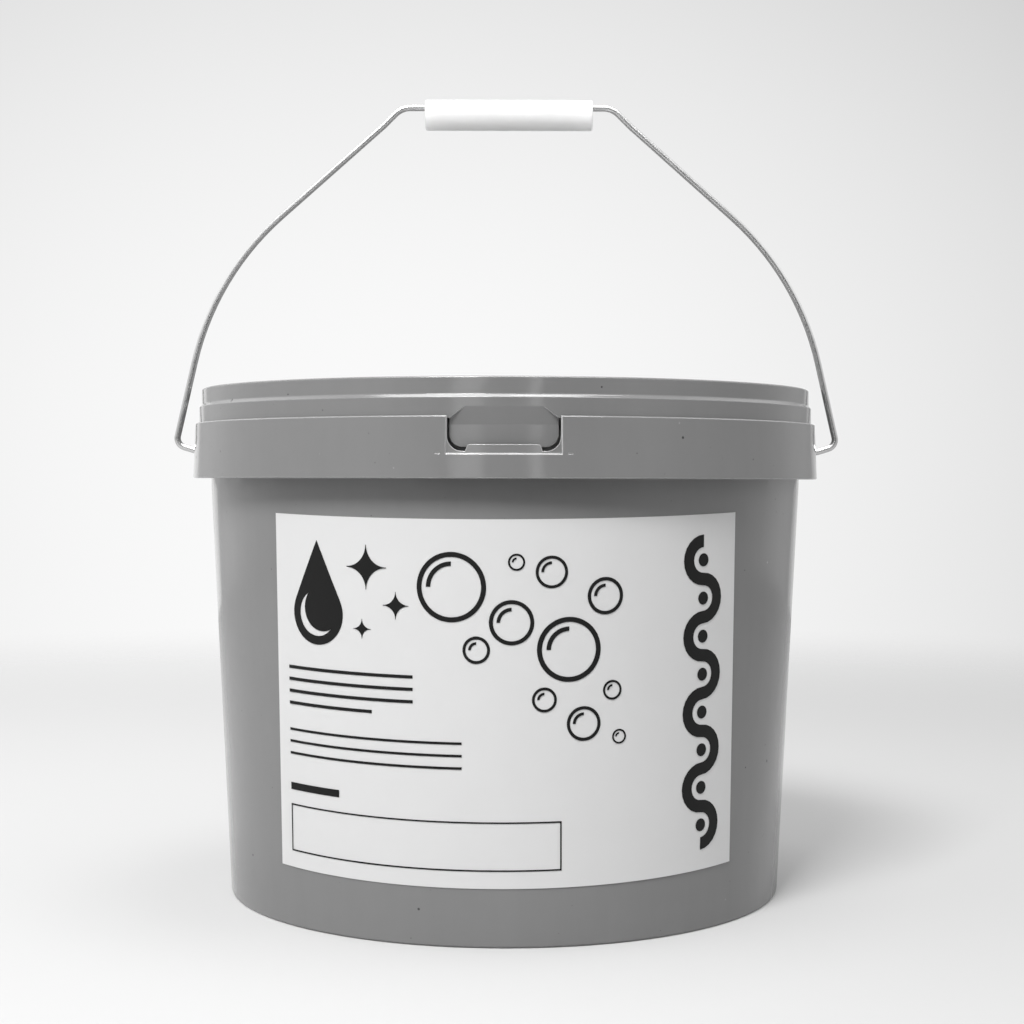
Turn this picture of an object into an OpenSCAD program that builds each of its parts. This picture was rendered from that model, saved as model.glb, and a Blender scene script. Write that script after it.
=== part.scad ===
// Dishwasher powder tub: a tapered round bucket with a collar, a press-on lid with a
// pull tab, and a wire bail with a loose tube grip. Millimetres.
// The origin is the centre of the base on the floor, +Z is up and the front is -Y.

/* [Tub wall] */
// Outer radius of the wall at the floor
base_r = 126.6; // [100:0.1:150]
// Outer radius of the wall at the collar's lower edge
neck_r = 135.9; // [131:0.1:160]
// Height of the collar's lower edge above the floor
collar_z = 188.2; // [120:0.1:260]
// Thickness of the wall
wall_t = 1.9; // [1.2:0.1:2.6]
// Thickness of the tub's floor
floor_t = 2.2; // [1.2:0.1:4]
// Height of the recess under the tub's floor
foot_h = 4; // [1:0.5:8]
// Width of the ring that the tub stands on
foot_w = 3; // [2:0.5:5]
// Rounding of the lower outer edge
foot_round = 1.2; // [0.4:0.1:1.8]

/* [Collar] */
// Distance from the wall to the collar's outer face, at the lower edge
collar_out = 8; // [7.4:0.1:12]
// Height of the collar
collar_h = 24.7; // [22:0.1:30]
// Thickness of the collar
collar_t = 1.5; // [1:0.1:1.8]
// How much smaller the collar's radius is at its top edge
collar_lean = 0.9; // [0.4:0.1:1.4]
// Thickness of the web that joins the collar to the wall
web_t = 1.6; // [1:0.1:2]
// Distance from the collar's top edge down to the web
web_drop = 5.3; // [4:0.1:6]
// Number of ribs under the web
rib_count = 36; // [24:12:48]
// Thickness of a rib
rib_t = 1.2; // [0.8:0.1:1.6]
// Height of the ribs' lower edge above the collar's lower edge
rib_lift = 3; // [1:0.5:6]

/* [Rim and lid] */
// Height of the tub's rim above the collar's top edge
rim_h = 14; // [13:0.1:18]
// Thickness of the lid's roof over the rim
roof_t = 1.5; // [1.1:0.1:2]
// Thickness of the lid's outer skirt
skirt_t = 1.3; // [1:0.1:1.4]
// Thickness of the lid's inner wall, which plugs the mouth
plug_t = 1.4; // [1:0.1:2]
// Thickness of the lid's panel
panel_t = 1.6; // [1:0.1:2.4]
// Depth of the panel below the lid's top edge
tray_depth = 13.9; // [10:0.1:18]
// Distance from the lid's top edge down to the ledge
band_h = 6.6; // [5:0.1:7]
// Height of the ledge's slope
ledge_h = 1.9; // [1.6:0.1:2.6]
// How far the lid's snap bead stands in from its skirt
snap_in = 0.65; // [0.3:0.05:0.8]
// Height of the ring on the panel that centres a stacked tub
stack_ring_h = 2.4; // [1:0.1:3.6]

/* [Pull tab] */
// Width of the tab
tab_w = 42.8; // [34:0.1:50]
// Depth of the tab's lower edge below the collar's top edge
tab_drop = 12.25; // [10:0.05:12.6]
// Thickness of the tab
tab_t = 1.3; // [1:0.1:1.4]
// Rounding of the tab's lower corners
tab_round = 5; // [2:0.5:6]
// Width of the notch's upper edge
notch_w = 30.6; // [20:0.1:32]
// Height of the notch's upper edge above the collar's top edge
notch_rise = 3.6; // [2.6:0.1:4.4]
// Depth of the foot of the notch's slope below the collar's top edge
slope_drop = 3.5; // [2:0.1:5]
// Gap between the tab and the edge of the window
window_gap = 0.9; // [0.6:0.1:1.4]
// Rounding of the window's lower corners
window_round = 6; // [3:0.5:7]
// Depth of the window's sill below the collar's top edge
sill_drop = 13.95; // [13.2:0.05:15]
// Width of the guard tongue on the sill, at its foot
tongue_w = 31; // [20:0.5:32]
// Height of the guard tongue
tongue_h = 2.65; // [2:0.05:3.4]
// Depth of the shallow field round the window
field_depth = 0.5; // [0.2:0.05:0.7]

/* [Bail] */
// Radius of the bail's wire
wire_r = 1.5; // [1.2:0.1:1.8]
// Height of the bail's holes above the collar's lower edge
hinge_rise = 12.8; // [11:0.1:14]
// Height of the wire's top run above the floor
bail_top = 361.1; // [330:0.1:400]
// Lean of the wire's legs from upright
leg_lean = 12.9; // [10:0.1:15]
// Radius of the long bend of each leg
arc_r = 130; // [100:1:150]
// Slope of the wire below level, between the long bend and the kink
slope_angle = 41.5; // [38:0.5:46]
// Slope of the wire below level, between the kink and the shoulder
neck_angle = 45; // [42:0.5:52]
// Length of the steeper run beside the shoulder
neck_run = 7; // [3:0.5:10]
// Radius of the shoulder bend
shoulder_r = 10; // [6:0.5:14]
// Length of wire inside the collar, below its hole
hook_drop = 6; // [4.5:0.1:7]
// Depth of the smooth recess in the collar round each hole
ear_depth = 0.55; // [0.2:0.05:0.7]
// How far the bail has slid to the right in its holes
bail_shift = 0.4; // [-0.4:0.1:0.4]

/* [Grip] */
// Length of the tube grip
grip_l = 77.8; // [60:0.1:100]
// Outer radius of the tube grip
grip_r = 7.1; // [6.4:0.1:9]
// Inner radius of the tube grip
grip_bore_r = 5; // [3:0.1:5.6]
// How far the grip has slid to the right along the wire
grip_shift = 0.9; // [-4:0.1:4]

/* [Label] */
// Width of the label
label_w = 212; // [150:1:230]
// Height of the label
label_h = 148; // [120:1:150]
// Height of the label's lower edge above the floor
label_z = 24.4; // [10:0.1:36]
// Thickness of the label
label_t = 0.25; // [0.15:0.05:0.5]
// Thickness of the print
ink_t = 0.12; // [0.08:0.02:0.2]
// Turn of the label from the middle of the front
label_turn = 0.55; // [-2:0.05:2]
// Tilt of the label in its own plane, its right side up
label_tilt = 0.25; // [-1:0.05:1]
// Number of half waves in the printed ribbon
wave_count = 8; // [4:1:10]
// Width of the printed ribbon's line
wave_line = 5.2; // [3:0.1:6]

/* [Contents] */
// Depth of the powder in the tub
powder_h = 172; // [60:1:178]
// Height of the powder's crown above its edge
powder_crown = 4; // [1:0.5:6]

/* [Clearances] */
// Gap between the lid's skirt and the collar
skirt_gap = 0.3; // [0.2:0.05:0.5]
// Gap between the lid's plug and the tub's wall
plug_gap = 0.3; // [0.2:0.05:0.5]
// Gap between the rim and the lid's outer wall
rim_gap = 0.75; // [0.5:0.05:1]
// Gap between the two snap beads as they pass
snap_gap = 0.2; // [0.1:0.05:0.3]
// Gap between the rim's top and the lid's roof
seat_gap = 0.1; // [0.05:0.05:0.3]
// Gap round the bail's wire in its holes
hinge_gap = 0.25; // [0.15:0.05:0.4]
// Gap between the wire's top and the grip's bore
hang_gap = 0.1; // [0.05:0.05:0.3]
// Gap between a layer of the label and what is under it
skin_gap = 0.05; // [0.02:0.01:0.08]

/* [Hidden] */

$fn = 96;
eps = 0.5;                       // overlap of joined pieces and reach of cutters

// Outer and inner radius of the tapered wall at a height
function wall_out(z) = base_r + (neck_r - base_r) * z / collar_z;
function wall_in(z) = wall_out(z) - wall_t;
draft = atan((neck_r - base_r) / collar_z);

// Levels of the collar, its web and the rim
collar_r = neck_r + collar_out;
collar_top = collar_z + collar_h;
web_top = collar_top - web_drop;
web_z = web_top - web_t;
rim_z = collar_top + rim_h;
hinge_z = collar_z + hinge_rise;
sill_z = collar_top - sill_drop;
field_z = sill_z - 0.8;          // the shallow field ends just below the sill
floor_top = foot_h + floor_t;

// Outer radius of the collar at a height
function collar_out_r(z) = collar_r - collar_lean * (z - collar_z) / collar_h;
collar_mid_r = collar_r - collar_lean / 2 - collar_t / 2;
wall_mid_r = wall_out(collar_z + collar_h / 2) - wall_t / 2;

// Lid: its radii follow the collar and the rim
lid_top = rim_z + seat_gap + roof_t;
band_r = wall_out(rim_z) + rim_gap + roof_t;
skirt_r = collar_out_r(collar_top) - collar_t - skirt_gap;
skirt_in_r = skirt_r - skirt_t;
skirt_z = web_top + 1.3;
ledge_top = lid_top - band_h;
ledge_z = ledge_top - ledge_h;
roof_z = lid_top - roof_t;
panel_top = lid_top - tray_depth;
panel_z = panel_top - panel_t;
function plug_out(z) = wall_in(z) - plug_gap;
snap_r = skirt_in_r - snap_in;   // inner radius of the lid's snap bead
bead_r = snap_r - snap_gap;      // outer radius of the rim's bead
bead_z = ledge_z - 1.6;
snap_z = bead_z - 3.9;

// Pull tab: its inner face clears the rim as the lid lifts
tab_in_r = wall_out(rim_z) + 0.25;
tab_r = tab_in_r + tab_t;
tab_half = tab_w / 2;
tab_z = collar_top - tab_drop;
slot_top = collar_top - 0.9;     // where the slots beside the tab end
notch_top = collar_top + notch_rise;
slope_z = collar_top - slope_drop;
window_half = tab_half + window_gap;
field_half = window_half + 0.6;
well_t = 1.4;                    // walls and floor of the well behind the window
well_top = sill_z - 0.8;

// Bail: the ear's faces and the hook behind them
ear_face = collar_out_r(hinge_z) - ear_depth;
ear_in = collar_out_r(hinge_z) - collar_t - 0.9;
hook_bend = 2.5;
hook_x = (wall_out(hinge_z) + ear_in) / 2;
foot_x = ear_face + 1.6;         // where the foot starts to rise
foot_angle = 17;
foot_bend = 6;
foot_run = 4.6;
heel_r = 4.5;
kink_r = 20;
shoulder_x = grip_l / 2 + 6.1;   // half length of the top run, a little past the grip
grip_z = bail_top + wire_r + hang_gap - grip_bore_r;

// Points of a circular arc in the plane
function arc_pts(c, r, a0, a1, n = 6) =
    [for (i = [0:n]) c + r * [cos(a0 + (a1 - a0) * i / n), sin(a0 + (a1 - a0) * i / n)]];

// A ring of rectangular section, from z0 to z1
module ring(r0, r1, z0, z1) {
    rotate_extrude() translate([r0, z0]) square([r1 - r0, z1 - z0]);
}

// A sector of a section that stands in the XZ plane, centred on a bearing
module sector(bearing, half_angle) {
    rotate([0, 0, bearing - half_angle]) rotate_extrude(angle = 2 * half_angle) children();
}

// A flat shape in the plane of x and z, pushed through the front of the tub
module through_front(y_far, y_near) {
    translate([0, y_near, 0]) rotate([90, 0, 0]) linear_extrude(y_near - y_far) children();
}

// Wall, floor, standing ring and rounded rim in one section
module shell_section() {
    rim_r = wall_t / 2;
    rim_c = [wall_out(rim_z - rim_r) - rim_r, rim_z - rim_r];
    inner_round = 4;
    polygon(concat(
        [[0, foot_h], [base_r - foot_w - 0.3, foot_h], [base_r - foot_w, 0]],
        arc_pts([wall_out(foot_round) - foot_round, foot_round], foot_round, -90, 0),
        arc_pts(rim_c, rim_r, 0, 180, 10),
        arc_pts([wall_in(floor_top) - inner_round, floor_top + inner_round], inner_round, 0, -90),
        [[0, floor_top]]
    ));
}

// Bead under the rim that the lid snaps over, left out behind the pull tab
module rim_bead() {
    root_r = wall_out(bead_z) - wall_t / 2;
    difference() {
        rotate_extrude() polygon([
            [root_r, bead_z - 3.2], [bead_r, bead_z - 0.5],
            [bead_r, bead_z + 0.3], [root_r, bead_z + 2.8]
        ]);
        translate([-window_half - 2, -collar_r, bead_z - 4])
            cube([2 * window_half + 4, collar_r, 8]);
    }
}

// The collar's own section, with its upper edge eased
module collar_section() {
    ease = 0.35;
    top_r = collar_r - collar_lean;
    polygon([
        [collar_r - ease, collar_z], [collar_r, collar_z + ease],
        [top_r, collar_top - ease], [top_r - ease, collar_top],
        [top_r - collar_t + ease, collar_top], [top_r - collar_t, collar_top - ease],
        [collar_r - collar_t, collar_z]
    ]);
}

// Web with its gap for the well, the ribs under it and the thickened ears
module web_and_ribs() {
    difference() {
        ring(wall_mid_r, collar_mid_r, web_z, web_top);
        translate([-field_half, -collar_r, web_z - eps])
            cube([2 * field_half, collar_r, web_t + 2 * eps]);
    }
    for (i = [0:rib_count - 1]) {
        bearing = (i + 0.5) * 360 / rib_count;
        in_front = sin(bearing) < 0 && abs(cos(bearing)) * collar_r < field_half + 6;
        if (!in_front)
            rotate([0, 0, bearing]) translate([wall_mid_r, -rib_t / 2, collar_z + rib_lift])
                cube([collar_mid_r - wall_mid_r, rib_t, web_z - collar_z - rib_lift + eps]);
    }
    for (bearing = [0, 180])
        sector(bearing, 4.9) translate([ear_in, collar_z + rib_lift])
            square([collar_mid_r - ear_in, web_z - collar_z - rib_lift + eps]);
}

// Box-shaped well behind the window, which the pull tab hangs in
module tab_well() {
    intersection() {
        ring(wall_mid_r, collar_mid_r, well_top - well_t, web_top);
        union() {
            translate([-field_half - well_t, -collar_r, well_top - well_t])
                cube([2 * (field_half + well_t), collar_r / 2, well_t]);
            for (side = [-1, 1])
                translate([side * (field_half + well_t / 2) - well_t / 2, -collar_r, well_top - well_t])
                    cube([well_t, collar_r / 2, web_top - well_top + well_t]);
        }
    }
}

// Outline of the window: open at the top, round in its lower corners
module window_outline() {
    tip_round = 1.2;
    tip = [tongue_w / 2 - 1 - tip_round, sill_z + tongue_h - tip_round];
    difference() {
        union() {
            translate([-window_half, sill_z + window_round])
                square([2 * window_half, collar_top + 1 - sill_z - window_round]);
            translate([-window_half + window_round, sill_z])
                square([2 * (window_half - window_round), window_round]);
            for (side = [-1, 1])
                translate([side * (window_half - window_round), sill_z + window_round])
                    circle(window_round);
        }
        polygon(concat(
            [[-tongue_w / 2, sill_z - 1], [tongue_w / 2, sill_z - 1]],
            arc_pts(tip, tip_round, 15, 90, 4),
            arc_pts([-tip[0], tip[1]], tip_round, 90, 165, 4)
        ));
    }
}

// Section that skims the outside of the collar to a depth, from one height to another
module skim_section(depth, z0, z1) {
    polygon([
        [collar_out_r(z0) - depth, z0], [collar_r + 2, z0],
        [collar_r + 2, z1], [collar_out_r(z1) - depth, z1]
    ]);
}

// Section that skims the collar down to a ledge, which slopes out to the face below z
module ledge_section(depth, z, fall, z1) {
    polygon([
        [collar_out_r(z) - depth, z], [collar_out_r(z - fall) + 0.4, z - fall * (1 + 0.4 / depth)],
        [collar_r + 2, z - fall * (1 + 0.4 / depth)], [collar_r + 2, z1],
        [collar_out_r(z1) - depth, z1]
    ]);
}

// Window, shallow field, the marks beside it, ear recesses and the holes for the bail
module collar_cuts() {
    field_angle = asin(field_half / collar_r);
    through_front(-collar_r - 1, -wall_out(collar_top) - 1.2) window_outline();
    sector(-90, field_angle) ledge_section(field_depth, field_z, 0.5, collar_top + 1);
    for (side = [-1, 1])
        sector(-90 + side * (field_angle + 1.3), 0.35) ledge_section(0.3, field_z, 0.4, field_z + 0.1);
    for (bearing = [0, 180]) {
        sector(bearing, 12) skim_section(ear_depth, hinge_z - 0.5, collar_top + 1);
        rotate([0, 0, bearing]) translate([ear_in - 1, 0, hinge_z]) rotate([0, 90, 0])
            cylinder(r = wire_r + hinge_gap, h = collar_r - ear_in + 2);
    }
}

module bucket() {
    color("darkgray") union() {
        difference() {
            rotate_extrude() shell_section();
            translate([0, 0, foot_h - 1]) cylinder(r = 7, h = 1.5);
        }
        rim_bead();
        difference() {
            union() {
                rotate_extrude() collar_section();
                web_and_ribs();
                tab_well();
            }
            collar_cuts();
        }
    }
}

// The lid's whole section: tray, plug, roof over the rim, ledge and skirt
module lid_section() {
    lip = 0.8;
    cove = 1.3;
    shoulder = 0.4;
    plug_in_top = plug_out(lid_top) - plug_t;
    plug_in_low = plug_out(panel_top) - plug_t;
    stack_r = base_r - foot_w - 0.8;
    corner = 1.6;
    polygon(concat(
        [[0, panel_top], [stack_r - 1.5, panel_top], [stack_r - 1.3, panel_top + stack_ring_h],
         [stack_r - 0.2, panel_top + stack_ring_h], [stack_r, panel_top]],
        arc_pts([plug_in_low - corner, panel_top + corner], corner, -90, 0),
        arc_pts([plug_in_top + lip, lid_top - lip], lip, 180, 90),
        arc_pts([band_r - lip, lid_top - lip], lip, 90, 0),
        arc_pts([band_r + cove, ledge_top], cove, 180, 225, 5),
        arc_pts([skirt_r - shoulder, ledge_z], shoulder, 45, 0, 4),
        [[skirt_r, skirt_z + 0.6], [skirt_r - 0.4, skirt_z], [skirt_in_r, skirt_z],
         [skirt_in_r, snap_z - 1.2], [snap_r, snap_z - 0.4], [snap_r, snap_z + 0.2],
         [skirt_in_r, snap_z + 1.2], [skirt_in_r, ledge_z - 0.8],
         [band_r - roof_t, ledge_top - 0.9], [band_r - roof_t, roof_z],
         [plug_out(roof_z), roof_z]],
        arc_pts([plug_out(panel_z + corner) - corner, panel_z + corner], corner, 0, -90),
        [[0, panel_z]]
    ));
}

// What is cut from the skirt: the notch above and the slots beside the tab
module notch_outline() {
    slot_x = window_half + 0.3;
    polygon([
        [-slot_x, skirt_z - 1], [-slot_x, slot_top], [-tab_half, slot_top],
        [-notch_w / 2, notch_top], [notch_w / 2, notch_top],
        [tab_half, slot_top], [slot_x, slot_top], [slot_x, skirt_z - 1]
    ]);
}

// The tab's own outline, lapped a little under the skirt round the notch
module tab_outline() {
    lap = 0.6;
    translate([-tab_half, tab_z + tab_round]) square([tab_w, slot_top - tab_z - tab_round]);
    translate([-tab_half + tab_round, tab_z]) square([tab_w - 2 * tab_round, tab_round]);
    for (side = [-1, 1])
        translate([side * (tab_half - tab_round), tab_z + tab_round]) circle(tab_round);
    polygon([
        [-tab_half, slot_top - 0.01], [-tab_half - lap, slot_top + lap],
        [-notch_w / 2 - lap, notch_top + lap], [notch_w / 2 + lap, notch_top + lap],
        [tab_half + lap, slot_top + lap], [tab_half, slot_top - 0.01]
    ]);
}

module lid() {
    reach = skirt_in_r - 1.9;    // the cutter stops between the skirt and the plug
    color("darkgray") union() {
        difference() {
            rotate_extrude() lid_section();
            through_front(-skirt_r - 1, -reach) notch_outline();
        }
        intersection() {
            rotate_extrude() polygon([
                [tab_in_r, tab_z - 1], [tab_r, tab_z - 1], [tab_r, slope_z],
                [skirt_r, notch_top], [skirt_r, notch_top + 1],
                [skirt_in_r, notch_top + 1], [tab_in_r, slope_z + 1]
            ]);
            through_front(-skirt_r - 1, -reach + 2) tab_outline();
        }
    }
}

// The bail's wire as a list of steps: [run length, turn in degrees, bend radius].
// A step with a turn is a bend and has no run of its own.
hook_steps = [[hook_drop - hook_bend, 0, 0], [0, -90, hook_bend],
              [foot_x - hook_x - hook_bend, 0, 0]];
foot_steps = [[0, foot_angle, foot_bend], [foot_run, 0, 0],
              [0, 90 + leg_lean - foot_angle, heel_r]];
function long_bend() = [0, 90 - leg_lean - slope_angle, arc_r];
function top_bends() = [[0, slope_angle - neck_angle, kink_r], [neck_run, 0, 0],
                        [0, neck_angle, shoulder_r]];

// How far a step moves, for a wire that heads at angle a when the step starts
function heading(a) = [cos(a), sin(a)];
function step_move(s, a) =
    s[1] == 0 ? s[0] * heading(a)
    : let (side = sign(s[1]) * 90) s[2] * (heading(a + side) - heading(a + side + s[1]));
function path_move(steps, a, i = 0) =
    i == len(steps) ? [0, 0]
    : step_move(steps[i], a) + path_move(steps, a + steps[i][1], i + 1);

// The lengths of the leg and of the slope are what makes the wire reach from the
// foot to the top run, found from two equations in two unknowns.
leg_way = heading(90 + leg_lean);
slope_way = heading(180 - slope_angle);
bends_move = path_move(foot_steps, 0)
    + path_move([long_bend()], 90 + leg_lean)
    + path_move(top_bends(), 180 - slope_angle);
left_over = [shoulder_x, bail_top] - [foot_x, hinge_z] - bends_move;
cross_ways = leg_way[0] * slope_way[1] - leg_way[1] * slope_way[0];
leg_l = (left_over[0] * slope_way[1] - left_over[1] * slope_way[0]) / cross_ways;
slope_l = (leg_way[0] * left_over[1] - leg_way[1] * left_over[0]) / cross_ways;

half_steps = concat(hook_steps, foot_steps, [[leg_l, 0, 0], long_bend(), [slope_l, 0, 0]],
                    top_bends());
bail_steps = concat(half_steps, [[2 * shoulder_x, 0, 0]],
                    [for (i = [len(half_steps) - 1:-1:0]) half_steps[i]]);

// Draws the steps one after another, each from where the last one ended.
// The wire starts along +X, and a positive turn lifts it towards +Z.
// Bending draws the wire a hair thinner, so each run laps over the bends beside it.
module wire(steps, i = 0) {
    bend_lap = 0.3;
    bend_wire_r = wire_r - 0.05;
    if (i < len(steps)) {
        run = steps[i][0];
        turn = steps[i][1];
        centre = [0, 0, sign(turn) * steps[i][2]];
        if (turn == 0) {
            lap0 = i == 0 ? 0 : bend_lap;
            lap1 = i == len(steps) - 1 ? 0 : bend_lap;
            translate([-lap0, 0, 0]) rotate([0, 90, 0])
                cylinder(r = wire_r, h = run + lap0 + lap1, $fn = 32);
            translate([run, 0, 0]) wire(steps, i + 1);
        } else {
            translate(centre) rotate([90, 0, 0]) rotate([0, 0, turn > 0 ? -90 : 90 + turn])
                rotate_extrude(angle = abs(turn)) translate([steps[i][2], 0])
                    circle(bend_wire_r, $fn = 32);
            translate(centre) rotate([0, -turn, 0]) translate(-centre) wire(steps, i + 1);
        }
    }
}

module bail() {
    color("silver") translate([hook_x + bail_shift, 0, hinge_z - hook_drop]) rotate([0, -90, 0])
        wire(bail_steps);
}

// Tube with eased ends and a fine moulding step along its lower front
module grip() {
    ease = 0.5;
    color("white") translate([bail_shift + grip_shift, 0, grip_z]) difference() {
        rotate([0, 90, 0]) rotate_extrude() polygon([
            [grip_bore_r, -grip_l / 2], [grip_r - ease, -grip_l / 2],
            [grip_r, -grip_l / 2 + ease], [grip_r, grip_l / 2 - ease],
            [grip_r - ease, grip_l / 2], [grip_bore_r, grip_l / 2]
        ]);
        rotate([15, 0, 0]) translate([-grip_l / 2 - 1, -grip_r - 1, -0.2])
            cube([grip_l + 2, 1.2, 0.4]);
    }
}

// Label: a flat sheet wrapped on the cone. Its straight edges lie in planes square
// to the wall's front line, so a frame tilted by the draft cuts them true.
function label_r(t) = wall_out(label_z + t * cos(draft)) + skin_gap;
function label_x(s, t) = label_r(t) * sin(s / label_r(t) * 180 / PI);

// A thin coat on the front of the tapered wall, from one distance off it to another
module coat(off0, off1) {
    z0 = label_z - 4;
    z1 = label_z + label_h + 8;
    sector(-90, 62) polygon([
        [wall_out(z0) + off0, z0], [wall_out(z0) + off1, z0],
        [wall_out(z1) + off1, z1], [wall_out(z1) + off0, z1]
    ]);
}

// The sheet's own frame: x across the front, y up the wall, pushed through the coat
module sheet_frame() {
    translate([0, -wall_out(label_z), label_z]) rotate([90 + draft, 0, 0])
        translate([0, label_h / 2, -0.45 * base_r]) linear_extrude(0.6 * base_r)
            rotate(label_tilt) translate([0, -label_h / 2]) children();
}

// A straight-edged field on the sheet, from s0 to s1 across and t0 to t1 up
module field(s0, s1, t0, t1) {
    polygon([
        [label_x(s0, t0), t0], [label_x(s1, t0), t0],
        [label_x(s1, t1), t1], [label_x(s0, t1), t1]
    ]);
}

module label() {
    color("gainsboro") rotate([0, 0, label_turn]) intersection() {
        coat(skin_gap, skin_gap + label_t);
        sheet_frame() field(-label_w / 2, label_w / 2, 0, label_h);
    }
}

// A flat shape turned square to the sheet at u across and v up
module on_sheet(u, v, reach = 2) {
    rise = v - label_h / 2;
    s = u * cos(label_tilt) - rise * sin(label_tilt);
    t = label_h / 2 + u * sin(label_tilt) + rise * cos(label_tilt);
    r = label_r(t);
    slant = r / sin(draft);
    rotate([0, 0, s / r * 180 / PI])
        translate([0, -r - 1, label_z + t * cos(draft) + s * s / slant / 2])
            rotate([90, 0, 0]) rotate([0, 0, s / slant * 180 / PI + label_tilt])
                translate([0, 0, -1 - reach]) linear_extrude(2 * reach) children();
}

// A drop: a round bottom with two tangents that meet in a point
module drop(r) {
    tip = 2.3 * r;
    touch = acos(r / tip);
    difference() {
        polygon(concat([[0, tip]], arc_pts([0, 0], r, 90 + touch, 450 - touch, 30)));
        difference() {
            circle(0.72 * r);
            translate([0.2 * r, 0.16 * r]) circle(0.72 * r);
        }
    }
}

// A four-pointed spark, left over between four circles
module spark(r) {
    difference() {
        square(2 * r, center = true);
        for (x = [-r, r], y = [-r, r]) translate([x, y]) circle(0.985 * r);
    }
}

// A bubble: a ring with a short glint inside
module bubble(r, line) {
    difference() {
        circle(r);
        circle(r - line);
    }
    intersection() {
        difference() {
            circle(r - 1.9 * line);
            circle(r - 2.8 * line);
        }
        translate([-r, 0]) square(r);
    }
}

// A ribbon that swings from side to side in half rounds, drawn up one side and down
// the other, with a dot in each bend
module wave(r, line, count) {
    function half_wave(i, side) =
        let (way = i % 2 == 0 ? 1 : -1)
        arc_pts([0, (2 * i + 1) * r], r + way * side * line / 2, -90, way * 180 - 90, 12);
    polygon(concat(
        [for (i = [0:count - 1]) each half_wave(i, 1)],
        [for (i = [count - 1:-1:0]) let (back = half_wave(i, -1)) for (j = [12:-1:0]) back[j]]
    ));
    for (i = [0:count - 1])
        translate([0, (2 * i + 1) * r]) circle(0.34 * r);
}

// Black print: drop and sparks, bubbles, ruled lines, a blank box and a wave ribbon
module label_print() {
    edge = label_w / 2;
    wave_h = label_h - 22;
    wave_r = wave_h / wave_count / 2;
    color("dimgray") rotate([0, 0, label_turn]) intersection() {
        coat(2 * skin_gap + label_t, 2 * skin_gap + label_t + ink_t);
        union() {
            on_sheet(-edge + 24, 108) drop(13);
            for (p = [[48, 128, 9], [61, 113, 5.5], [46, 103, 4]])
                on_sheet(-edge + p[0], p[1]) spark(p[2]);
            for (p = [[84, 121, 14, 2], [108, 107, 9, 1.6], [94, 96, 5.5, 1.2], [124, 127, 6.5, 1.2],
                      [110, 131, 3.4, 0.8], [131, 96, 13, 2], [146, 117, 7.5, 1.4],
                      [121, 76, 5, 1.1], [149, 79, 4, 0.9], [137, 66, 7, 1.3], [152, 60, 3, 0.7]])
                on_sheet(-edge + p[0], p[1]) bubble(p[2], p[3]);
            sheet_frame() {
                for (i = [0:3]) field(-edge + 7, -edge + (i == 3 ? 50 : 68), 84 - 5 * i, 85.3 - 5 * i);
                for (i = [0:2]) field(-edge + 7, -edge + 88, 58 - 5 * i, 59 - 5 * i);
                field(-edge + 7, -edge + 34, 33, 36);
                difference() {
                    field(-edge + 7, -edge + 128, 7, 27);
                    field(-edge + 7.6, -edge + 127.4, 7.6, 26.4);
                }
            }
            on_sheet(edge - 9 - wave_r - wave_line / 2, label_h / 2, 6)
                translate([0, -wave_h / 2]) wave(wave_r, wave_line, wave_count);
        }
    }
}

// Bed of powder: on the floor, just inside the wall, with a low crown
module powder() {
    side_gap = 0.3;
    top = floor_top + powder_h;
    crown_r = (pow(wall_in(top), 2) + pow(powder_crown, 2)) / (2 * powder_crown);
    crown_a = asin(wall_in(top) / crown_r);
    color("white") rotate_extrude() polygon(concat(
        [[0, floor_top], [wall_in(floor_top) - 5, floor_top],
         [wall_in(floor_top + 5) - side_gap, floor_top + 5], [wall_in(top) - side_gap, top]],
        [for (i = [1:8]) let (a = crown_a * (1 - i / 8) * 0.98)
            [crown_r * sin(a), top + powder_crown - crown_r * (1 - cos(a))]]
    ));
}

bucket();
lid();
bail();
grip();
label();
label_print();
powder();
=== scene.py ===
"""Dishwasher powder tub: a recycled grey tub with a press-on lid, a wire bail and a tube grip.

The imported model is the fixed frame. Each sub-assembly is a class that takes its solids from
the frame, gives them smooth, eased meshes and dresses them in procedural finishes.
Everything is in metres, the origin is the centre of the base, +Z is up, the front is -Y.
"""

from __future__ import annotations

import logging
import math
from dataclasses import dataclass, field
from enum import Enum
from typing import Any, Iterable, Union

import bmesh
import bpy
from mathutils import Matrix, Vector

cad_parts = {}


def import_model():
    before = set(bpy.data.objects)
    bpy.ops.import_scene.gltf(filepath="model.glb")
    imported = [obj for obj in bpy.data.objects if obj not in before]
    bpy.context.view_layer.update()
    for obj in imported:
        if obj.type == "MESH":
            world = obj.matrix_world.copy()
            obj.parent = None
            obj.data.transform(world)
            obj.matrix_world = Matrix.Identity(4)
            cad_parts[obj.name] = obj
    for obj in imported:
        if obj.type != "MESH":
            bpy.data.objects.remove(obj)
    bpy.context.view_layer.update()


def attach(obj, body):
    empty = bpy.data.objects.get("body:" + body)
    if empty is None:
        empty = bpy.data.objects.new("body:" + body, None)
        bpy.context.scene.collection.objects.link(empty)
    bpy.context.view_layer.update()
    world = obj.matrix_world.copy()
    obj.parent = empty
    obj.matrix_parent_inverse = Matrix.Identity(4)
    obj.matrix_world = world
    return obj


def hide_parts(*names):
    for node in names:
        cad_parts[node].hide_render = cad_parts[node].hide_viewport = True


LOG = logging.getLogger("powder_tub")
# Rays that find how far a rounded edge turns the normal
BEVEL_SAMPLES = 6
# Turn of the normal, as one less its cosine, where the painted edge highlight starts to show and
# where it is full
EDGE_SPAN = (0.006, 0.09)
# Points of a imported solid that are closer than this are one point
MERGE_GAP = 0.000002


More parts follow.
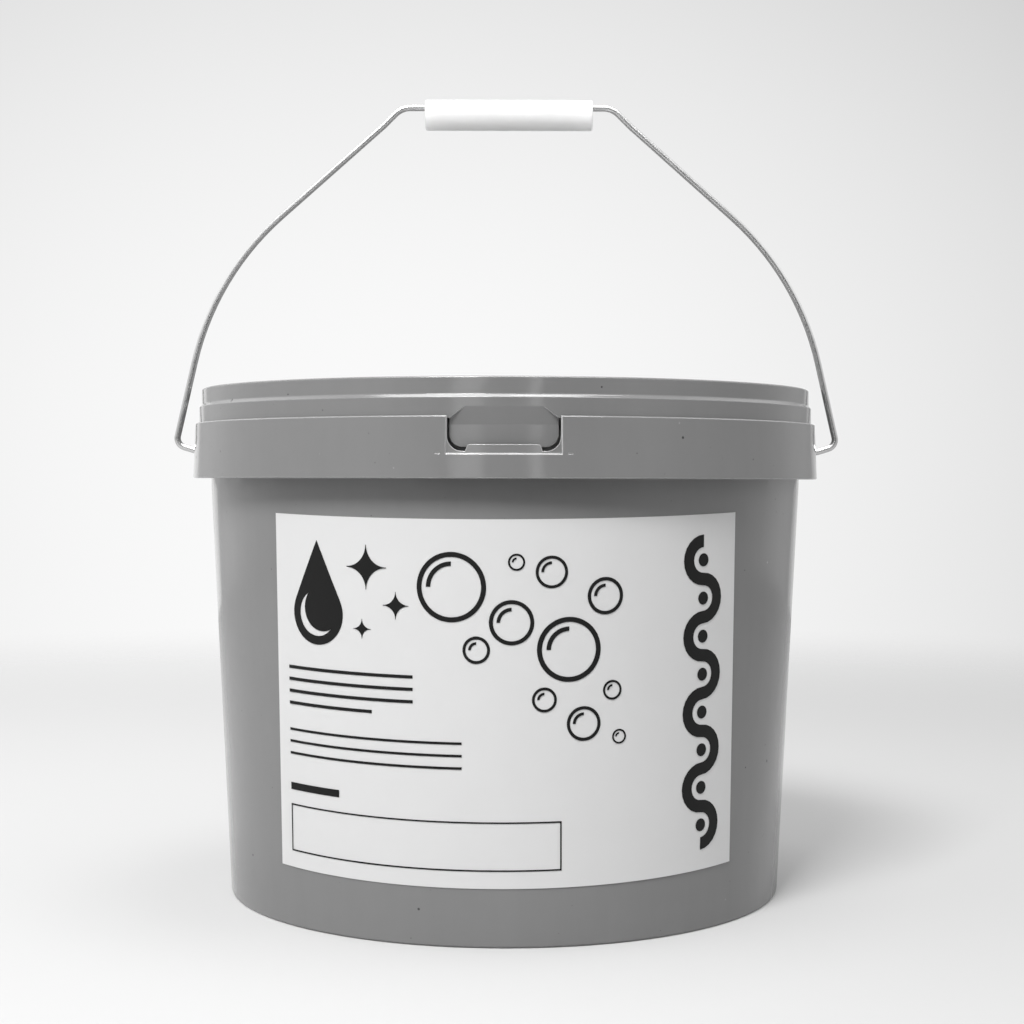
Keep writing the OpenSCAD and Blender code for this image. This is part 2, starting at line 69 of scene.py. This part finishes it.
class Body(Enum):
    """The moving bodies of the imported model."""

    TUB = "tub"
    LID = "lid"
    BAIL = "bail"
    GRIP = "grip"


class Slot(Enum):
    """The record's material slots."""

    TUB_PLASTIC = "tub_plastic"
    WIRE = "wire"
    GRIP_PLASTIC = "grip_plastic"
    LABEL_PAPER = "label_paper"
    INK = "ink"
    POWDER = "powder"


def grey(level: float) -> float:
    """Turns a display level from 0 to 255 into a linear value."""
    share = level / 255
    return share / 12.92 if share <= 0.04045 else ((share + 0.055) / 1.055) ** 2.4


def tone(level: float) -> tuple[float, float, float, float]:
    """Gives the neutral colour, with its alpha, that renders at a display level."""
    return (grey(level), grey(level), grey(level), 1.0)


# Shader maths

Value = Union["Signal", float, int]


class Signal:
    """A socket that takes part in Python expressions, each operator adding a Math node."""

    def __init__(self, shader: "Shader", socket: bpy.types.NodeSocket) -> None:
        """Wraps a socket.

        Args:
            shader: The shader whose nodes the expressions are added to.
            socket: The output socket that carries the value.
        """
        self.shader = shader
        self.socket = socket

    def _math(self, operation: str, *values: Value) -> "Signal":
        """Adds one Math node.

        Args:
            operation: The node's operation.
            *values: Its inputs in order.

        Returns:
            The node's result.
        """
        return self.shader.node(
            "ShaderNodeMath", {"operation": operation}, dict(enumerate(values)))["Value"]

    def __add__(self, other: Value) -> "Signal":
        """Adds."""
        return self._math("ADD", self, other)

    __radd__ = __add__

    def __sub__(self, other: Value) -> "Signal":
        """Takes away."""
        return self._math("SUBTRACT", self, other)

    def __rsub__(self, other: Value) -> "Signal":
        """Takes this from the other."""
        return self._math("SUBTRACT", other, self)

    def __mul__(self, other: Value) -> "Signal":
        """Multiplies."""
        return self._math("MULTIPLY", self, other)

    __rmul__ = __mul__

    def __truediv__(self, other: Value) -> "Signal":
        """Divides."""
        return self._math("DIVIDE", self, other)

    def __lt__(self, other: Value) -> "Signal":
        """Gives 1 where this is the less."""
        return self._math("LESS_THAN", self, other)

    def most(self, other: Value) -> "Signal":
        """Gives the greater of the two."""
        return self._math("MAXIMUM", self, other)

    def least(self, other: Value) -> "Signal":
        """Gives the lesser of the two."""
        return self._math("MINIMUM", self, other)

    def ramp(self, low: float, high: float) -> "Signal":
        """Maps low to 0 and high to 1 in a smooth step, and holds the ends.

        Args:
            low: The value that becomes 0.
            high: The value that becomes 1.

        Returns:
            The eased share.
        """
        made = self.shader.node(
            "ShaderNodeMapRange", {"interpolation_type": "SMOOTHSTEP"},
            {"Value": self, "From Min": low, "From Max": high})
        return made["Result"]


class Shader:
    """One material or world, built from nodes."""

    def __init__(self, owner: Union[bpy.types.Material, bpy.types.World]) -> None:
        """Clears the owner's nodes.

        Args:
            owner: The material or world to build.
        """
        owner.use_nodes = True
        self.owner = owner
        self.tree = owner.node_tree
        self.tree.nodes.clear()

    @classmethod
    def material(cls, name: str) -> "Shader":
        """Starts a new material with this name."""
        return cls(bpy.data.materials.new(name))

    def node(self, kind: str, settings: dict[str, Any] | None = None,
             inputs: dict[Union[str, int], Any] | None = None) -> dict[str, Signal]:
        """Adds a node.

        Args:
            kind: The node's type.
            settings: Its properties, set first.
            inputs: Values or signals, by the name or number of the socket.

        Returns:
            The node's outputs by name.
        """
        made = self.tree.nodes.new(kind)
        for name, value in (settings or {}).items():
            setattr(made, name, value)
        for name, value in (inputs or {}).items():
            if isinstance(value, Signal):
                self.tree.links.new(value.socket, made.inputs[name])
            else:
                made.inputs[name].default_value = value
        return {o.name: Signal(self, o) for o in made.outputs if o.enabled}

    def place(self, scale: tuple[float, float, float] = (1, 1, 1)) -> Signal:
        """Gives the object coordinates, in metres, stretched by a scale."""
        at = self.node("ShaderNodeTexCoord")["Object"]
        return self.node("ShaderNodeMapping", {}, {"Vector": at, "Scale": scale})["Vector"]

    def noise(self, at: Signal, scale: float, detail: float = 2.0,
              roughness: float = 0.5) -> Signal:
        """Gives fractal noise from 0 to 1.

        Args:
            at: Where it is read.
            scale: Features per metre.
            detail: Number of octaves.
            roughness: How strongly the fine octaves count.

        Returns:
            The noise.
        """
        made = self.node("ShaderNodeTexNoise", {"noise_dimensions": "3D"},
                         {"Vector": at, "Scale": scale, "Detail": detail, "Roughness": roughness})
        return made["Fac"] if "Fac" in made else made["Factor"]

    def specks(self, at: Signal, scale: float, radius: float, share: float) -> Signal:
        """Gives a mask of scattered round specks of mixed size.

        Args:
            at: Where it is read.
            scale: Cells per metre.
            radius: Radius of the largest speck, as a share of a cell.
            share: Share of the cells that hold a speck.

        Returns:
            The mask, 1 inside a speck.
        """
        cell = self.node("ShaderNodeTexVoronoi", {"feature": "F1"},
                         {"Vector": at, "Scale": scale, "Randomness": 1.0})
        lots = self.node("ShaderNodeSeparateColor", {}, {"Color": cell["Color"]})
        reach = radius * (0.35 + 0.65 * lots["Red"] * lots["Red"])
        inside = 1 - (cell["Distance"] / reach).ramp(0.75, 1.0)
        return inside * (lots["Green"] < share)

    def grey_of(self, value: Signal) -> Signal:
        """Turns a value into a neutral colour."""
        return self.node("ShaderNodeCombineColor", {},
                         {"Red": value, "Green": value, "Blue": value})["Color"]

    def eased(self, radius: float) -> Signal:
        """Gives the normal of a surface whose edges are rounded to a radius."""
        made = self.node("ShaderNodeBevel", {"samples": BEVEL_SAMPLES}, {"Radius": radius})
        return made["Normal"]

    def edges(self, eased: Signal) -> Signal:
        """Gives a mask of the edges, where the eased normal leaves the true one.

        Args:
            eased: The normal with rounded edges.

        Returns:
            The mask, 1 on a sharp edge.
        """
        true = self.node("ShaderNodeNewGeometry")["Normal"]
        same = self.node("ShaderNodeVectorMath", {"operation": "DOT_PRODUCT"}, {0: eased, 1: true})
        return (1 - same["Value"]).ramp(*EDGE_SPAN)

    def bump(self, height: Signal, depth: float, under: Signal | None = None) -> Signal:
        """Turns a height into a surface normal.

        Args:
            height: The height from 0 to 1.
            depth: What a height of 1 measures, in metres.
            under: A coarser bump that this one adds to.

        Returns:
            The normal.
        """
        inputs: dict[Union[str, int], Any] = {
            "Height": height, "Distance": depth, "Strength": 1.0}
        if under is not None:
            inputs["Normal"] = under
        return self.node("ShaderNodeBump", {}, inputs)["Normal"]

    def surface(self, **sockets: Any) -> bpy.types.Material:
        """Ends a material with one Principled shader.

        Args:
            **sockets: Its sockets, with underscores for spaces.

        Returns:
            The finished material.
        """
        named = {name.replace("_", " "): value for name, value in sockets.items()}
        made = self.node("ShaderNodeBsdfPrincipled", {}, named)
        return self.close(made["BSDF"])

    def close(self, end: Signal) -> Any:
        """Joins the last shader to the output.

        Args:
            end: The shader to show.

        Returns:
            The owner of the nodes.
        """
        world = isinstance(self.owner, bpy.types.World)
        self.node("ShaderNodeOutputWorld" if world else "ShaderNodeOutputMaterial", {},
                  {"Surface": end})
        return self.owner


# Finishes


@dataclass(frozen=True)
class RecycledPlastic:
    """Moulded recycled polypropylene: mid grey, softly glossy, with stray specks and a painted
    highlight along its edges.
    """

    name: str = "recycled_plastic"
    level: float = 130.0
    roughness: float = 0.07
    edge: float = 0.0005
    painted_edge_highlight: float = 0.42
    speck_scale: float = 95.0
    speck_reach: float = 0.08
    dark_share: float = 0.8
    fine_share: float = 0.35
    pale_share: float = 0.3
    cloud_scale: float = 26.0
    flow_scale: float = 150.0
    flow_stretch: float = 0.16
    skin_scale: float = 900.0
    skin_depth: float = 0.000012

    def build(self) -> bpy.types.Material:
        """Makes the material, with flow clouds, specks and a fine moulded skin."""
        s = Shader.material(self.name)
        at = s.place()
        clouds = s.noise(at, self.cloud_scale, 3.0)
        flow = s.noise(s.place((1, 1, self.flow_stretch)), self.flow_scale, 3.0)
        value = grey(self.level) * (0.93 + 0.08 * clouds + 0.06 * flow)
        dark = s.specks(at, self.speck_scale, self.speck_reach, self.dark_share)
        fine = s.specks(at, self.speck_scale * 2.6, self.speck_reach, self.fine_share)
        pale = s.specks(at, self.speck_scale * 0.83, self.speck_reach * 0.8, self.pale_share)
        value = value * (1 - 0.72 * dark) * (1 - 0.55 * fine) * (1 + 0.55 * pale)
        eased = s.eased(self.edge)
        # Painted highlight: the base colour is made lighter along every edge, as if the edges
        # caught the light
        value = value + self.painted_edge_highlight * s.edges(eased)
        skin = s.noise(at, self.skin_scale, 2.0)
        rough = self.roughness + 0.05 * clouds + 0.04 * flow + 0.12 * dark
        return s.surface(Base_Color=s.grey_of(value), Roughness=rough, IOR=1.49,
                         Normal=s.bump(skin, self.skin_depth, eased))


@dataclass(frozen=True)
class LabelFilm:
    """Matt white label film with a faint tooth."""

    name: str = "label_film"
    level: float = 224.0
    roughness: float = 0.46

    def build(self) -> bpy.types.Material:
        """Makes the material."""
        s = Shader.material(self.name)
        at = s.place()
        cloud = s.noise(at, 60.0, 3.0)
        tooth = s.noise(at, 2600.0, 2.0)
        value = grey(self.level) * (0.985 + 0.03 * cloud)
        return s.surface(Base_Color=s.grey_of(value), Roughness=self.roughness + 0.08 * cloud,
                         IOR=1.45, Normal=s.bump(tooth, 0.00001))


@dataclass(frozen=True)
class PrintInk:
    """Black screen ink, a little uneven."""

    name: str = "print_ink"
    level: float = 14.0
    roughness: float = 0.5

    def build(self) -> bpy.types.Material:
        """Makes the material."""
        s = Shader.material(self.name)
        at = s.place()
        patch = s.noise(at, 320.0, 3.0)
        value = grey(self.level) * (0.75 + 0.5 * patch)
        return s.surface(Base_Color=s.grey_of(value), Roughness=self.roughness + 0.1 * patch,
                         IOR=1.3, Normal=s.bump(patch, 0.000008))


@dataclass(frozen=True)
class GalvanisedWire:
    """Bright drawn steel wire with a thin zinc skin."""

    name: str = "galvanised_wire"
    level: float = 196.0
    roughness: float = 0.22

    def build(self) -> bpy.types.Material:
        """Makes the material."""
        s = Shader.material(self.name)
        at = s.place()
        cloud = s.noise(at, 160.0, 3.0)
        value = grey(self.level) * (0.9 + 0.2 * cloud)
        return s.surface(Base_Color=s.grey_of(value), Metallic=1.0,
                         Roughness=self.roughness + 0.06 * cloud)


@dataclass(frozen=True)
class GripPlastic:
    """Glossy white polyethylene tube."""

    name: str = "grip_plastic"
    level: float = 249.0
    roughness: float = 0.26
    glow_depth: float = 0.008

    def build(self) -> bpy.types.Material:
        """Makes the material."""
        s = Shader.material(self.name)
        at = s.place()
        cloud = s.noise(at, 90.0, 2.0)
        skin = s.noise(at, 1200.0, 2.0)
        value = grey(self.level) * (0.97 + 0.04 * cloud)
        return s.surface(Base_Color=s.grey_of(value), Roughness=self.roughness + 0.06 * cloud,
                         IOR=1.5, Subsurface_Weight=0.8, Subsurface_Radius=(1.0, 1.0, 1.0),
                         Subsurface_Scale=self.glow_depth, Normal=s.bump(skin, 0.00001))


@dataclass(frozen=True)
class WashPowder:
    """Fine white washing powder with coarser grains."""

    name: str = "wash_powder"
    level: float = 236.0

    def build(self) -> bpy.types.Material:
        """Makes the material."""
        s = Shader.material(self.name)
        at = s.place()
        drift = s.noise(at, 40.0, 3.0)
        grain = s.noise(at, 1400.0, 3.0, 0.7)
        blue = s.specks(at, 420.0, 0.3, 0.12)
        value = grey(self.level) * (0.86 + 0.16 * grain) * (1 - 0.35 * blue)
        under = s.bump(drift, 0.004)
        return s.surface(Base_Color=s.grey_of(value), Roughness=0.95,
                         Normal=s.bump(grain, 0.0006, under))


@dataclass(frozen=True)
class StagePaint:
    """Pale studio floor that keeps the tub's shadow, has painted shade towards its right side, and
    fades into the backdrop.
    """

    name: str = "stage_paint"
    level: float = 212.0
    bounce_level: float = 178.0
    even_level: float = 232.0
    even_share: float = 0.18
    painted_shade_right: float = 0.2
    shade_start_x: float = -0.35
    shade_end_x: float = 0.55
    fade_from: float = 0.55
    fade_to: float = 1.5

    def build(self) -> bpy.types.Material:
        """Makes the material."""
        s = Shader.material(self.name)
        at = s.node("ShaderNodeTexCoord")["Object"]
        reach = s.node("ShaderNodeVectorMath", {"operation": "LENGTH"}, {0: at})["Value"]
        ray = s.node("ShaderNodeLightPath")
        camera = ray["Is Camera Ray"]
        low, high = grey(self.bounce_level), grey(self.level)
        # Painted shade: the floor's colour grows darker towards its right side
        across = s.node("ShaderNodeSeparateXYZ", {}, {"Vector": at})["X"]
        right_shade = 1 - self.painted_shade_right * across.ramp(self.shade_start_x, self.shade_end_x)
        shown = camera.most(ray["Is Glossy Ray"])
        pale = s.grey_of((low + (high - low) * shown) * right_shade)
        lit = s.node("ShaderNodeBsdfDiffuse", {}, {"Color": pale})["BSDF"]
        even = s.node("ShaderNodeEmission", {}, {"Color": tone(self.even_level)})["Emission"]
        paint = s.node("ShaderNodeMixShader", {},
                       {0: self.even_share * camera, 1: lit, 2: even})["Shader"]
        clear = s.node("ShaderNodeBsdfTransparent")["BSDF"]
        mixed = s.node("ShaderNodeMixShader", {},
                       {0: reach.ramp(self.fade_from, self.fade_to) * camera, 1: paint, 2: clear})
        return s.close(mixed["Shader"])


# Meshes


def finished(work: bmesh.types.BMesh, node: str, name: str, material: bpy.types.Material,
             body: Body) -> bpy.types.Object:
    """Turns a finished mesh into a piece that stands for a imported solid.

    Args:
        work: The mesh, which is freed.
        node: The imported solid.
        name: The new piece's name.
        material: Its finish.
        body: The body that it rides on.

    Returns:
        The new piece.
    """
    mesh = bpy.data.meshes.new(name)
    work.to_mesh(mesh)
    work.free()
    mesh.materials.append(material)
    piece = bpy.data.objects.new(name, mesh)
    bpy.context.scene.collection.objects.link(piece)
    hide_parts(node)
    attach(piece, body.value)
    LOG.info("%s stands for %s on %s, %d faces", name, node, body.value, len(mesh.polygons))
    return piece


def dressed_copy(node: str, name: str, material: bpy.types.Material, body: Body,
                 crease: float = 9.0) -> bpy.types.Object:
    """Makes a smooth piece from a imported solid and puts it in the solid's place.

    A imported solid's faces share no points, so an edge with one triangle is where two faces
    meet. Only such an edge can be a crease.

    Args:
        node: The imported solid.
        name: The new piece's name.
        material: Its finish.
        body: The body that it rides on.
        crease: Angle above which two faces meet in a crease, in degrees.

    Returns:
        The new piece.
    """
    work = bmesh.new()
    work.from_mesh(bpy.data.objects[node].data)
    for line in work.edges:
        line.smooth = not line.is_boundary
    bmesh.ops.remove_doubles(work, verts=work.verts, dist=MERGE_GAP)
    for line in work.edges:
        line.smooth = line.smooth or line.calc_face_angle(0.0) < math.radians(crease)
    for face in work.faces:
        face.smooth = True
        face.material_index = 0
    piece = finished(work, node, name, material, body)
    weigh = piece.modifiers.new("face_weights", "WEIGHTED_NORMAL")
    weigh.keep_sharp = True
    return piece


# Sub-assemblies


@dataclass
class Tub:
    """The moulded tub with its collar, and the powder in it."""

    plastic: bpy.types.Material
    powder: bpy.types.Material

    def build(self) -> list[bpy.types.Object]:
        """Makes the tub's shell and its bed of powder."""
        shell = dressed_copy("bucket", "tub_shell", self.plastic, Body.TUB)
        bed = dressed_copy("powder", "powder_bed", self.powder, Body.TUB)
        return [shell, bed]


@dataclass
class Lid:
    """The press-on lid with its pull tab."""

    plastic: bpy.types.Material

    def build(self) -> list[bpy.types.Object]:
        """Makes the lid."""
        return [dressed_copy("lid", "press_lid", self.plastic, Body.LID)]


@dataclass
class Label:
    """The wrapped label and its print."""

    film: bpy.types.Material
    ink: bpy.types.Material

    def build(self) -> list[bpy.types.Object]:
        """Makes the sheet and the print on it."""
        sheet = dressed_copy("label", "label_sheet", self.film, Body.TUB)
        printed = dressed_copy("label_print", "label_ink", self.ink, Body.TUB)
        return [sheet, printed]


@dataclass(frozen=True)
class Step:
    """One stretch of the bail: a straight run, or a bend where it turns, in degrees."""

    run: float = 0.0
    turn: float = 0.0
    radius: float = 0.0

    def move(self, heading: float) -> Vector:
        """Gives how far the stretch moves along x and z.

        Args:
            heading: Its way at the start, in degrees from +X towards +Z.

        Returns:
            The move.
        """
        if not self.turn:
            return self.run * way(heading)
        side = math.copysign(90, self.turn)
        return self.radius * (way(heading + side) - way(heading + side + self.turn))


def way(heading: float) -> Vector:
    """Gives the unit vector of a heading, in degrees from +X towards +Z."""
    return Vector((math.cos(math.radians(heading)), 0.0, math.sin(math.radians(heading))))


@dataclass
class Handle:
    """The wire bail and its loose grip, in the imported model's sizes."""

    wire: bpy.types.Material
    plastic: bpy.types.Material
    wire_r: float = 0.0015
    hinge_z: float = 0.201
    hook_x: float = 0.138783
    foot_x: float = 0.144484
    slid: float = 0.0004
    hook_drop: float = 0.006
    hook_bend: float = 0.0025
    foot_angle: float = 17.0
    foot_bend: float = 0.006
    foot_run: float = 0.0046
    heel_r: float = 0.0045
    leg_lean: float = 12.9
    arc_r: float = 0.13
    slope_angle: float = 41.5
    kink_r: float = 0.02
    neck_angle: float = 45.0
    neck_run: float = 0.007
    shoulder_r: float = 0.01
    shoulder_x: float = 0.045
    top_z: float = 0.3611
    sides: int = 28
    degrees_a_step: float = 2.5

    def build(self) -> list[bpy.types.Object]:
        """Makes the wire and the grip."""
        grip = dressed_copy("grip", "tube_grip", self.plastic, Body.GRIP)
        return [self._bail(), grip]

    def _steps(self) -> list[Step]:
        """Lists the stretches from the right end to the left one.

        The lengths of the leg and of the slope make the wire reach from its foot to its
        top run, and come from two equations in two unknowns.
        """
        foot = [Step(turn=self.foot_angle, radius=self.foot_bend), Step(run=self.foot_run),
                Step(turn=90 + self.leg_lean - self.foot_angle, radius=self.heel_r)]
        long_bend = Step(turn=90 - self.leg_lean - self.slope_angle, radius=self.arc_r)
        top = [Step(turn=self.slope_angle - self.neck_angle, radius=self.kink_r),
               Step(run=self.neck_run), Step(turn=self.neck_angle, radius=self.shoulder_r)]
        left = Vector((self.shoulder_x - self.foot_x, 0, self.top_z - self.hinge_z))
        left -= self._reach(foot, 0)
        left -= self._reach([long_bend], 90 + self.leg_lean)
        left -= self._reach(top, 180 - self.slope_angle)
        leg, slope = way(90 + self.leg_lean), way(180 - self.slope_angle)
        cross = leg.x * slope.z - leg.z * slope.x
        leg_run = (left.x * slope.z - left.z * slope.x) / cross
        slope_run = (leg.x * left.z - leg.z * left.x) / cross
        half = [Step(run=self.hook_drop - self.hook_bend), Step(turn=-90, radius=self.hook_bend),
                Step(run=self.foot_x - self.hook_x - self.hook_bend), *foot,
                Step(run=leg_run), long_bend, Step(run=slope_run), *top]
        return [*half, Step(run=2 * self.shoulder_x), *reversed(half)]

    @staticmethod
    def _reach(steps: Iterable[Step], heading: float) -> Vector:
        """Adds up how far some stretches move from a heading."""
        total = Vector()
        for step in steps:
            total += step.move(heading)
            heading += step.turn
        return total

    def _bail(self) -> bpy.types.Object:
        """Draws a ring along the stretches, spinning it through each bend."""
        work = bmesh.new()
        at = Vector((self.hook_x + self.slid, 0, self.hinge_z - self.hook_drop))
        heading = 90.0
        bmesh.ops.create_circle(work, cap_ends=True, segments=self.sides, radius=self.wire_r,
                                matrix=Matrix.Translation(at))
        ring = list(work.edges)
        for step in self._steps():
            if step.turn:
                side = math.copysign(1, step.turn)
                centre = at + side * step.radius * way(heading + 90)
                made = bmesh.ops.spin(
                    work, geom=ring, cent=centre, axis=(0, -1, 0), angle=math.radians(step.turn),
                    steps=max(3, round(abs(step.turn) / self.degrees_a_step)))
                ring = [e for e in made["geom_last"] if isinstance(e, bmesh.types.BMEdge)]
            else:
                made = bmesh.ops.extrude_edge_only(work, edges=ring)
                ring = [e for e in made["geom"] if isinstance(e, bmesh.types.BMEdge)
                        and e.is_boundary]
                ends = {v for e in ring for v in e.verts}
                bmesh.ops.translate(work, verts=list(ends), vec=step.run * way(heading))
            at = at + step.move(heading)
            heading += step.turn
        bmesh.ops.contextual_create(work, geom=ring)
        bmesh.ops.recalc_face_normals(work, faces=work.faces)
        for face in work.faces:
            face.smooth = len(face.verts) == 4
        return finished(work, "bail", "bail_wire", self.wire, Body.BAIL)


# Studio


@dataclass
class SoftBox:
    """One soft lamp; a sheen lamp shows only as a reflection, and a cone makes it a spot."""

    name: str
    at: tuple[float, float, float]
    aim: tuple[float, float, float]
    size: tuple[float, float]
    power: float
    sheen: bool = False
    cone: float = 0.0
    blend: float = 0.4

    def build(self) -> bpy.types.Object:
        """Makes the lamp and turns it to its aim."""
        data = bpy.data.lights.new(self.name, "SPOT" if self.cone else "AREA")
        if self.cone:
            data.spot_size = math.radians(self.cone)
            data.spot_blend = self.blend
            data.shadow_soft_size = self.size[0] / 2
        else:
            data.shape = "RECTANGLE"
            data.size, data.size_y = self.size
        data.energy = self.power
        lamp = bpy.data.objects.new(self.name, data)
        lamp.visible_diffuse = not self.sheen
        lamp.visible_glossy = not self.cone
        lamp.location = self.at
        beam = Vector(self.aim) - Vector(self.at)
        lamp.rotation_euler = beam.to_track_quat("-Z", "Y").to_euler()
        bpy.context.scene.collection.objects.link(lamp)
        return lamp


@dataclass
class Studio:
    """Floor, backdrop, lamps and camera."""

    floor_r: float = 1.6
    floor_sides: int = 96
    lens: float = 63.62
    camera_at: tuple[float, float, float] = (0.0032, -0.8477, 0.1879)
    pitch: float = -1.03
    roll: float = 0.14
    sensor: float = 36.0
    ambient: float = 0.05
    left_wall: float = 1.3
    right_wall: float = 1.15
    rear_wall: float = 0.5
    ceiling: float = 0.6
    room_level: float = 0.62
    gloss_gain: float = 0.25
    backdrop_level: float = 0.95
    backdrop_shade_right: float = 0.22
    backdrop_gloss_fall: float = 0.5
    lamps: list[SoftBox] = field(default_factory=lambda: [
        SoftBox("key_box", (-0.72, -1.75, 2.55), (0, 0, 0.15), (0.9, 0.9), 86.0),
        SoftBox("overhead_box", (0.1, 0.05, 1.35), (0, 0, 0.15), (0.5, 0.35), 3.0),
        SoftBox("ceiling_sheen", (-0.05, -0.5, 1.6), (0, -0.1, 0.2), (1.7, 0.9), 44.0, True),
        SoftBox("left_sheen", (-0.44, -2.0, 0.82), (0, 0, 0.2), (0.4, 1.2), 2.6, True),
        SoftBox("right_sheen", (0.37, -2.0, 0.82), (0, 0, 0.2), (0.16, 1.2), 1.2, True),
        SoftBox("grip_snoot", (0.0, -0.75, 0.42), (0, 0, 0.355), (0.06, 0.06), 10.0, cone=15.0),
    ])

    def build(self) -> None:
        """Sets up the whole studio."""
        self._floor()
        self._world()
        for lamp in self.lamps:
            lamp.build()
        self._camera()
        bpy.context.scene.view_settings.view_transform = "Standard"

    def _floor(self) -> None:
        """Lays a round floor."""
        work = bmesh.new()
        bmesh.ops.create_circle(work, cap_ends=True, segments=self.floor_sides,
                                radius=self.floor_r)
        mesh = bpy.data.meshes.new("studio_floor")
        work.to_mesh(mesh)
        work.free()
        mesh.materials.append(StagePaint().build())
        floor = bpy.data.objects.new("studio_floor", mesh)
        bpy.context.scene.collection.objects.link(floor)

    def _world(self) -> None:
        """Makes a pale backdrop with painted shade towards its right, its sides and its top, and a
        room round it that is bright above and at the sides.
        """
        world = bpy.data.worlds.new("studio")
        bpy.context.scene.world = world
        s = Shader(world)
        sight = s.node("ShaderNodeTexCoord")["Generated"]
        part = s.node("ShaderNodeSeparateXYZ", {}, {"Vector": sight})
        right, back, up = part["X"], part["Y"], part["Z"]
        rise = up.most(0)
        # Painted shade on the backdrop that the camera sees: darker towards the right, and towards
        # both sides and the top
        corner_shade = 1.4 * (right * right).least(0.08) + 2.3 * (rise * rise).least(0.08)
        seen = self.backdrop_level - self.backdrop_shade_right * right - corner_shade
        left = (0 - right).ramp(0.25, 0.8)
        opposite = right.ramp(0.35, 0.85)
        rear = back.ramp(-0.1, 0.6)
        above = up.ramp(0.15, 0.8)
        lift = 0.6 + 0.4 * up.ramp(0.0, 0.5)
        walls = self.left_wall * left + self.right_wall * opposite + self.rear_wall * rear
        room = self.ambient + walls * lift + self.ceiling * above
        ray = s.node("ShaderNodeLightPath")
        glossy = ray["Is Glossy Ray"].most(ray["Is Transmission Ray"])
        backdrop = (self.backdrop_level - self.backdrop_gloss_fall * right) * back.ramp(0.8, 0.9)
        strength = (room * (self.room_level + self.gloss_gain * glossy)).most(backdrop * glossy)
        camera = ray["Is Camera Ray"]
        light = s.node("ShaderNodeBackground", {},
                       {"Color": (1.0, 1.0, 1.0, 1.0),
                        "Strength": strength * (1 - camera) + seen * camera})
        s.close(light["Background"])

    def _camera(self) -> None:
        """Puts the camera where the photograph was taken from."""
        data = bpy.data.cameras.new("studio_camera")
        data.sensor_width = self.sensor
        data.lens = self.lens
        data.clip_start = 0.01
        camera = bpy.data.objects.new("studio_camera", data)
        turn = Matrix.Rotation(math.radians(90 + self.pitch), 4, "X")
        turn = turn @ Matrix.Rotation(math.radians(self.roll), 4, "Z")
        camera.matrix_world = Matrix.Translation(self.camera_at) @ turn
        bpy.context.scene.collection.objects.link(camera)
        bpy.context.scene.camera = camera


def main() -> None:
    """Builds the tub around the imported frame."""
    logging.basicConfig(level=logging.INFO, format="%(name)s: %(message)s")
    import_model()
    plastic = RecycledPlastic().build()
    groups = [
        Tub(plastic, WashPowder().build()),
        Lid(plastic),
        Label(LabelFilm().build(), PrintInk().build()),
        Handle(GalvanisedWire().build(), GripPlastic().build()),
    ]
    for group in groups:
        made = group.build()
        LOG.info("%s: %s", type(group).__name__, ", ".join(piece.name for piece in made))
    Studio().build()
    bpy.context.view_layer.update()


if __name__ == "__main__":
    main()
